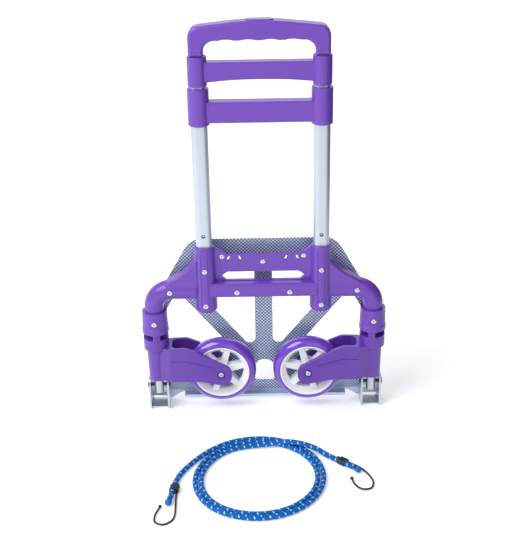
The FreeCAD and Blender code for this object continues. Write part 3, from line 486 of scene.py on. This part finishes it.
# ------------------------------------------------------------------ operators
class CART_OT_room(bpy.types.Operator):
    """Camera, floor and lights"""
    bl_idname = "cart.room"
    bl_label = "Room"

    def execute(self, context):
        room = context.scene.cart_room
        lens = bpy.data.cameras.new("Camera")
        lens.lens = room.lens
        lens.sensor_width = 36.0
        camera = bpy.data.objects.new("Camera", lens)
        context.scene.collection.objects.link(camera)
        turn = Matrix.Rotation(math.pi / 2 - room.tilt, 4, "X") @ Matrix.Rotation(-room.roll, 4, "Z")
        camera.matrix_world = Matrix.Translation((0.0, -room.distance, room.height)) @ turn
        context.scene.camera = camera
        paper = Shader("Floor", room.floor, 0.7)
        paper.surface.inputs["Emission Color"].default_value = (*room.floor, 1.0)
        paper.surface.inputs["Emission Strength"].default_value = room.glow
        floor = added("Floor", grid_mesh("Floor", self.sweep(room.bend), False, False), paper.material)
        corners = np.array([[[room.card, -0.7, 0.02], [room.card, 1.1, 0.02]],
                            [[room.card, -0.7, 1.5], [room.card, 1.1, 1.5]]])
        matt = Shader("Card", CARD_GREY, 0.9).material
        card = added("Card", grid_mesh("Card", corners, False, False), matt)
        card.visible_camera = False
        lights = [self.light(context, "Key", room.key, 1.6, (-1.3, -0.95, 1.95)),
                  self.light(context, "Fill", room.fill, 1.4, (0.7, -1.9, 1.2)),
                  self.light(context, "Back", room.fill, 1.6, (0.3, 1.6, 1.9))]
        world = bpy.data.worlds.new("World")
        world.use_nodes = True
        background = world.node_tree.nodes["Background"]
        background.inputs[0].default_value = (1.0, 1.0, 1.0, 1.0)
        background.inputs[1].default_value = room.world
        context.scene.world = world
        context.scene.view_settings.view_transform = "Standard"
        return {"FINISHED"}

    def sweep(self, bend):
        """Level from far in front, then a quarter turn of radius bend, then straight up."""
        wide, near, back, high = 5.0, -5.0, 1.3, 4.0
        t = np.linspace(0.0, math.pi / 2, 25)
        y = np.concatenate([[near], back + bend * np.sin(t), [back + bend]])
        z = np.concatenate([[0.0], bend - bend * np.cos(t), [high]])
        x = np.array([-wide, wide])
        return np.stack([x[None, :] + 0 * y[:, None], y[:, None] + 0 * x, z[:, None] + 0 * x], -1)

    def light(self, context, name, power, size, place):
        lamp = bpy.data.lights.new(name, "AREA")
        lamp.energy = power
        lamp.size = size
        made = bpy.data.objects.new(name, lamp)
        context.scene.collection.objects.link(made)
        aim = -Matrix.Translation(place).to_translation()
        aim.z += 0.25
        made.matrix_world = Matrix.Translation(place) @ aim.to_track_quat("-Z", "Y").to_matrix().to_4x4()
        return made


class CART_OT_cord(bpy.types.Operator):
    """The loose elastic cord and its woven sleeve"""
    bl_idname = "cart.cord"
    bl_label = "Elastic cord"

    def execute(self, context):
        cord = context.scene.cart_cord
        points = CORD_PATH + turn_points() + CORD_EXIT_PATH
        piece = cord_curve("elastic_core", points, cord.diameter / 2 - 0.0001)
        piece.data.materials.append(Shader("Cord core", cord.colour, 0.6).material)
        yarn = yarn_shader("Woven sleeve", cord.colour, cord.fleck, cord.repeat)
        skin = sleeve_mesh("elastic_sleeve", centre_line(piece), cord.diameter / 2)
        sleeve = added("elastic_sleeve", skin, yarn)
        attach(piece, "elastic_cord")
        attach(sleeve, "elastic_cord")
        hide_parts("bungee_cord")
        return {"FINISHED"}


class CART_OT_finishes(bpy.types.Operator):
    """Finishes for the solid pieces"""
    bl_idname = "cart.finishes"
    bl_label = "Finishes"

    def execute(self, context):
        looks = context.scene.cart_looks
        cord = context.scene.cart_cord
        made = {
            "purple_plastic": plastic_shader("Moulded plastic", looks.plastic),
            # The forks get a darker copy of the purple plastic: painted shade.
            "purple_fork": plastic_shader("Shaded fork plastic", looks.fork),
            "button_plastic": plastic_shader("Button plastic", looks.button, 0.30),
            "black_plastic": plastic_shader("Black plastic", BLACK, 0.45),
            "hub_white": plastic_shader("Hub plastic", looks.hub, 0.25, 0.3),
            "tyre_purple": Shader("Tyre", looks.tyre, 0.16, coat=0.5).material,
            "tube_aluminium": tube_shader("Tube aluminium", looks.metal),
            "bare_steel": steel_shader("Bare steel", BARE_STEEL),
            "ear_steel": steel_shader("Ear steel", EAR_STEEL, 0.30),
            "rivet_silver": steel_shader("Rivet", RIVET_STEEL, 0.22),
            "black_steel": Shader("Black steel", BLACK, 0.30, metallic=0.2, coat=0.3).material,
            # Toe plate: painted shade in the hollows, painted highlight on the diamonds and flange.
            "plate_metal": plate_shader("Embossed plate", looks.plate_shade, looks.plate_highlight,
                                        looks.plate_pitch),
            "cord_blue": Shader("Cord solid", cord.colour, 0.6).material,
            "cord_end": Shader("Cord end", cord.colour, 0.5).material,
        }
        for part in frame["record"]["subparts"]:
            node = frame["nodes"][part["node"]]
            for spot in node.material_slots:
                spot.material = made[part["material_slot"]]
        return {"FINISHED"}


class CART_OT_tyres(bpy.types.Operator):
    """Both tyres"""
    bl_idname = "cart.tyres"
    bl_label = "Tyres"

    def execute(self, context):
        sizes = context.scene.cart_tyre
        looks = context.scene.cart_looks
        rubber = Shader("Polyurethane", looks.tyre, 0.14, coat=0.6).material
        profile = tyre_profile(sizes.foot, sizes.crown, sizes.half_width)
        for side in ("left", "right"):
            low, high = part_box(side + "_tyre")
            centre = (low + high) / 2
            mesh = turned(side + "_tyre_skin", profile, centre, sizes.around)
            tyre = added(side + "_tyre_skin", mesh, rubber)
            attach(tyre, side + "_wheel")
            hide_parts(side + "_tyre")
        return {"FINISHED"}


class CART_PT_panel(bpy.types.Panel):
    """Settings and steps of the cart's looks"""
    bl_idname = "CART_PT_panel"
    bl_label = "Folding luggage cart"
    bl_space_type = "VIEW_3D"
    bl_region_type = "UI"
    bl_category = "Cart"

    def draw(self, context):
        for group in GROUPS:
            settings = getattr(context.scene, group)
            box = self.layout.box()
            for name in settings.bl_rna.properties.keys():
                if name not in ("rna_type", "name"):
                    box.prop(settings, name)
        for step in STEPS:
            self.layout.operator(step.bl_idname)


GROUPS = {"cart_room": CartRoom, "cart_looks": CartLooks, "cart_cord": CartCord, "cart_tyre": CartTyre}
STEPS = (CART_OT_room, CART_OT_cord, CART_OT_finishes, CART_OT_tyres)


def register():
    for name, group in GROUPS.items():
        bpy.utils.register_class(group)
        setattr(bpy.types.Scene, name, bpy.props.PointerProperty(type=group))
    for step in STEPS:
        bpy.utils.register_class(step)
    bpy.utils.register_class(CART_PT_panel)


def unregister():
    bpy.utils.unregister_class(CART_PT_panel)
    for step in reversed(STEPS):
        bpy.utils.unregister_class(step)
    for name, group in reversed(GROUPS.items()):
        delattr(bpy.types.Scene, name)
        bpy.utils.unregister_class(group)


def main():
    register()
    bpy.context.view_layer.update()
    bpy.ops.cart.room()
    bpy.ops.cart.cord()
    bpy.ops.cart.finishes()
    bpy.ops.cart.tyres()


if __name__ == "__main__":
    main()
